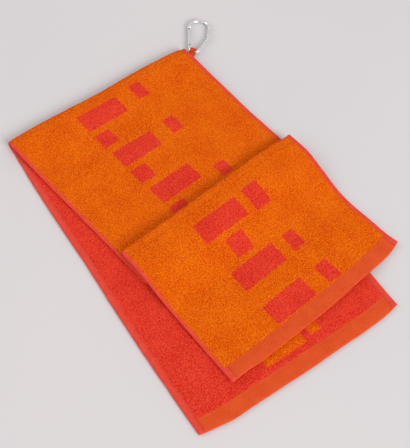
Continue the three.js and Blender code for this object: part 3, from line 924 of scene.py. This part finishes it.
def add_tape():
    line = tape_line()
    along = np.gradient(line, axis=0)
    along /= np.linalg.norm(along, axis=1, keepdims=True)
    outward = np.stack([along[:, 1], -along[:, 0]], axis=-1)
    half = (BIGHT_WIDTH + (TAPE_WIDTH - BIGHT_WIDTH) * smooth((-line[:, 0] - 2) / 8)) / 2
    across = np.linspace(-1, 1, 13)
    rounded = TAPE_HALF * np.sqrt(np.clip(1.06 - across ** 8, 0.1, 1))
    loop_across = np.concatenate([across, across[::-1]])
    loop_height = np.concatenate([rounded, -rounded])
    length = np.arange(len(line))[:, None] * 0.4
    weave = 0.06 * np.sin(length * 2.6 + 6 * loop_across) * np.sign(loop_height)
    cup = 0.35 * loop_across ** 2 * smooth((line[:, :1] + 2) / 4)
    depth = loop_height + weave - cup
    flat = line[:, None] + outward[:, None] * depth[..., None]
    y = half[:, None] * loop_across
    points = BIGHT + TAPE_OUT * flat[..., :1] + UP * flat[..., 1:] + TAPE_ACROSS * y[..., None]
    made = loft("hang_tape", points, len(across), tape_cloth)
    write_cloth_map(made, length + 0 * y, y)
    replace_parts(made, "loop_tape", "loop_seam")
    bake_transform(made)


def add_tube(name, line, radius, sides, material):
    """A round rod along a line of points. radius has a half width and a half height for each
    point, the height being along the last column of the frame that goes with the line."""
    points, side, top = line
    turn = np.arange(sides) * 2 * math.pi / sides
    radius = np.asarray(radius, float)
    ring = side[:, None] * (radius[:, :1] * np.cos(turn))[..., None]
    ring = ring + top[:, None] * (radius[:, 1:] * np.sin(turn))[..., None]
    return loft(name, points[:, None] + ring, sides // 2 + 1, material)


def add_bartack():
    """The close zigzag that holds the tape in the corner of the fold."""
    low, high = cad_box("loop_bartack")
    middle = (low + high) / 2
    count = 61
    share = np.linspace(-0.5, 0.5, count)
    zig = 2 * np.abs((share * 9) % 1 - 0.5) - 0.5
    points = middle + TAPE_ACROSS * (share * 9.0)[:, None] + TAPE_OUT * (2.2 * zig)[:, None]
    along = np.gradient(points, axis=0)
    along /= np.linalg.norm(along, axis=1, keepdims=True)
    side = np.cross(along, UP)
    made = add_tube(
        "bartack", (points, side, np.broadcast_to(UP, side.shape)), [(0.3, 0.26)] * count, 8, orange_thread,
    )
    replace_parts(made, "loop_bartack")
    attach(made, "lower_leaf")


add_tape()
add_bartack()

# ------------------------------------------------------------------ snap hook

# The rod runs round three circles as a belt does. x is the hook's length and y its width.
WIDE = (55.5, 1.2, 16.0)
NARROW = (11.5, 2.5, 8.5)
SPINE = (35.0, -3.0, 12.6)
ROD = 2.8                # a little slimmer than the CAD's rod, as in the photo
GATE = 2.6
PIN = 1.1
TONGUE_WIDTH, TONGUE_HALF = 2.2, 1.0
HINGE_FROM_NARROW = 5.0
NOSE_FROM_WIDE = 3.5
CHEEK_ROOT = 3.3         # from the rivet or pin to the solid part of the gate
SLOT_HALF = 1.3


def tangent_angle(a, b):
    distance = math.hypot(b[0] - a[0], b[1] - a[1])
    return math.atan2(b[1] - a[1], b[0] - a[0]) - math.acos((a[2] - b[2]) / distance)


def on_circle(circle, angle):
    return np.stack([circle[0] + circle[2] * np.cos(angle), circle[1] + circle[2] * np.sin(angle)], -1)


gate_angle = tangent_angle(WIDE, NARROW)
gate_along = on_circle(WIDE, gate_angle) - on_circle(NARROW, gate_angle)
gate_along /= np.linalg.norm(gate_along)
hinge_point = on_circle(NARROW, gate_angle) + gate_along * HINGE_FROM_NARROW
pin_point = on_circle(WIDE, gate_angle) - gate_along * NOSE_FROM_WIDE
GATE_LENGTH = float(np.linalg.norm(pin_point - hinge_point))

hinge = joint_place("gate_hinge")
pin_low, pin_high = cad_box("gate_pin")
HOOK_UP = -joint_axis("gate_hinge")
GATE_OUT = (pin_low + pin_high) / 2 - hinge
GATE_OUT -= HOOK_UP * (GATE_OUT @ HOOK_UP)
GATE_OUT /= np.linalg.norm(GATE_OUT)
GATE_SIDE = np.cross(HOOK_UP, GATE_OUT)


def on_gate(along, side, up):
    """A point given from the rivet: towards the latch pin, across the gate, and up."""
    along, side, up = np.broadcast_arrays(along, side, up)
    return hinge + along[..., None] * GATE_OUT + side[..., None] * GATE_SIDE + up[..., None] * HOOK_UP


def from_outline(plan):
    """Points of the hook's outline, as distances along and across the gate."""
    away = plan - hinge_point
    return away @ gate_along, away @ np.array([-gate_along[1], gate_along[0]])


def rod_plan():
    leave_narrow = tangent_angle(NARROW, SPINE) + 2 * math.pi
    leave_spine = tangent_angle(SPINE, WIDE) + 2 * math.pi
    bends = (
        on_circle(NARROW, np.linspace(gate_angle, leave_narrow, 30)),
        on_circle(SPINE, np.linspace(leave_narrow, leave_spine, 14)),
        on_circle(WIDE, np.linspace(leave_spine, gate_angle + 2 * math.pi, 40)),
    )
    reach = np.array([-1.9, -1.0, 0.0, 2.0, 2.8, 3.4])[:, None]
    return (
        hinge_point - gate_along * reach,
        np.concatenate(bends),
        pin_point + gate_along * reach[::-1],
    )


def add_rod():
    first, middle, last = rod_plan()
    plan = np.concatenate([first, middle, last])
    shrink = [(0.9, 0.6), (1.9, TONGUE_HALF), (TONGUE_WIDTH, TONGUE_HALF), (TONGUE_WIDTH, TONGUE_HALF),
              (2.4, 1.8), (ROD - 0.1, ROD - 0.3)]
    radius = np.array(shrink + [(ROD, ROD)] * len(middle) + shrink[::-1])
    along, across = from_outline(plan)
    points = on_gate(along, across, 0.0)
    direction = np.gradient(points, axis=0)
    direction /= np.linalg.norm(direction, axis=1, keepdims=True)
    side = np.cross(direction, HOOK_UP)
    top = np.broadcast_to(HOOK_UP, side.shape)
    made = add_tube("hook_rod", (points, side, top), radius, 20, chrome)
    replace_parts(made, "carabiner_frame")
    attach(made, "carabiner")


def join(name, parts, material):
    """Several lofts as one object."""
    points, faces, flat = [], [], []
    for part in parts:
        base = len(points)
        points += [np.array(vertex.co) / MM for vertex in part.data.vertices]
        flat += [not polygon.use_smooth for polygon in part.data.polygons]
        faces += [tuple(base + k for k in polygon.vertices) for polygon in part.data.polygons]
        mesh = part.data
        bpy.data.objects.remove(part)
        bpy.data.meshes.remove(mesh)
    made = add_object(name, np.array(points), faces, material)
    shade(made, [index for index, is_flat in enumerate(flat) if is_flat])
    return made


def gate_bar():
    start, end = CHEEK_ROOT - 0.4, GATE_LENGTH - CHEEK_ROOT + 0.4
    along = np.array([start, start + 0.15, start + 0.5, start + 2, (start + end) / 2, end - 2, end - 0.5,
                      end - 0.15, end])
    thin = np.array([0.55, 0.35, 0.05, 0, 0, 0, 0.05, 0.35, 0.55])
    points = on_gate(along, 0.0, 0.0)
    side = np.broadcast_to(GATE_SIDE, points.shape)
    top = np.broadcast_to(HOOK_UP, points.shape)
    radius = np.repeat((GATE - thin)[:, None], 2, axis=1)
    return add_tube("gate_bar", (points, side, top), radius, 20, chrome)


def gate_cheek(centre, inward, up):
    """One half of a forked end of the gate, on one side of the rod's tongue."""
    reach = np.concatenate([-GATE * np.cos(np.radians([8, 25, 45, 65, 85])), [1.0, 2.4, CHEEK_ROOT]])
    half = np.sqrt(np.clip(GATE ** 2 - np.minimum(reach, 0) ** 2, 0.1, None)) * 0.98
    share = np.linspace(-1, 1, 11)
    side = np.concatenate([half[:, None] * share, half[:, None] * share[::-1]], axis=1)
    crown = np.sqrt(np.clip(1 - (half[:, None] * share / (1.02 * GATE)) ** 2, 0.02, 1))
    top = SLOT_HALF + (0.9 * GATE - SLOT_HALF) * crown
    height = np.concatenate([top, np.full(top.shape, SLOT_HALF)], axis=1)
    points = on_gate(centre + inward * reach[:, None], side, up * height)
    return loft("gate_cheek", points, len(share), chrome)


def add_gate():
    parts = [gate_bar()]
    for centre, inward in ((0.0, 1), (GATE_LENGTH, -1)):
        for up in (1, -1):
            parts.append(gate_cheek(centre, inward, up))
    made = join("hook_gate", parts, chrome)
    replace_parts(made, "carabiner_gate")
    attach(made, "gate")


def add_pin(name, along, node, body):
    """A rivet with low domed heads."""
    from_tip = np.array([0.0, 0.06, 0.22, 0.3])
    up = np.concatenate([from_tip - GATE, GATE - from_tip[::-1]])
    radius = np.array([0.45, 1.0, 1.3, PIN, PIN, 1.3, 1.0, 0.45])
    points = on_gate(along + 0 * up, 0.0, up)
    side = np.broadcast_to(GATE_SIDE, points.shape)
    out = np.broadcast_to(GATE_OUT, points.shape)
    made = add_tube(name, (points, side, out), np.repeat(radius[:, None], 2, axis=1), 16, steel)
    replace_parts(made, node)
    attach(made, body)


def add_spring():
    """The coil that shuts the gate, inside its bar."""
    turns, coil, wire = 6, 0.8, 0.22
    low, high = cad_box("gate_spring")
    middle = (low + high) / 2
    angle = np.linspace(0, 2 * math.pi * turns, 16 * turns + 1)
    along = 8.4 * (angle / angle[-1] - 0.5)
    ring = GATE_SIDE * np.cos(angle)[:, None] + HOOK_UP * np.sin(angle)[:, None]
    points = middle + GATE_OUT * along[:, None] + coil * ring
    direction = np.gradient(points, axis=0)
    direction /= np.linalg.norm(direction, axis=1, keepdims=True)
    top = np.cross(direction, ring)
    made = add_tube("hook_spring", (points, ring, top), [(wire, wire)] * len(points), 6, steel)
    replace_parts(made, "gate_spring")
    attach(made, "gate")


add_rod()
add_gate()
add_pin("hook_rivet", 0.0, "gate_rivet", "carabiner")
add_pin("hook_latch", GATE_LENGTH, "gate_pin", "gate")
add_spring()

# ------------------------------------------------------------------ room, light and camera

# The camera and the lights are placed in metres, and the lights face the origin.
FLOOR_REACH = 30.0
CAMERA_PLACE = (0.54184, -0.33868, 0.9753)
CAMERA_AIM = (-0.4373, 0.2797, -0.8547)
CAMERA_LENS = 66.77
KEY_PLACE, KEY_SIZE, KEY_POWER = (6.2, 1.2, 3.8), 3.4, 350
FILL_PLACE, FILL_SIZE, FILL_POWER = (-2.6, -3.0, 2.6), 2.5, 34
ROOM_LIGHT = 0.65


def floor_paint():
    paint = Paint("floor", Specular_IOR_Level=0.2)
    at = paint.place()
    cloud = paint.noise(at, 2.0, 2, 0.5)
    grain = paint.noise(at, 900, 2, 0.5)
    color = paint.mix(paint.span(cloud, 0.3, 0.7, 0, 1), linear(213, 210, 212), linear(218, 213, 214))
    roughness = paint.span(grain, 0.3, 0.7, 0.75, 0.85)
    return paint.finish(color, roughness, paint.bump(grain, 0.0001, 0.2))


def add_floor():
    points = [(x * FLOOR_REACH, y * FLOOR_REACH, 0) for x, y in ((-1, -1), (1, -1), (1, 1), (-1, 1))]
    made = add_object("floor", np.array(points) / MM, [(0, 1, 2, 3)], floor_paint())


def add_light(name, place, size, power, color):
    data = bpy.data.lights.new(name, "AREA")
    data.shape = "DISK"
    data.size = size
    data.energy = power
    data.color = color
    made = bpy.data.objects.new(name, data)
    made.location = place
    made.rotation_euler = (-Vector(place)).to_track_quat("-Z", "Y").to_euler()
    bpy.context.scene.collection.objects.link(made)


def add_world(strength):
    world = bpy.data.worlds.new("room")
    world.use_nodes = True
    background = world.node_tree.nodes["Background"]
    background.inputs["Color"].default_value = (1.0, 0.985, 0.985, 1)
    background.inputs["Strength"].default_value = strength
    bpy.context.scene.world = world


def add_camera():
    data = bpy.data.cameras.new("camera")
    data.lens = CAMERA_LENS
    data.sensor_width = 36
    made = bpy.data.objects.new("camera", data)
    made.location = CAMERA_PLACE
    made.rotation_euler = Vector(CAMERA_AIM).to_track_quat("-Z", "Y").to_euler()
    bpy.context.scene.collection.objects.link(made)
    bpy.context.scene.camera = made


add_floor()
add_world(ROOM_LIGHT)
add_light("key", KEY_PLACE, KEY_SIZE, KEY_POWER, (1.0, 0.985, 0.97))
add_light("fill", FILL_PLACE, FILL_SIZE, FILL_POWER, (0.97, 0.98, 1.0))
add_camera()
bpy.context.scene.view_settings.view_transform = "Standard"
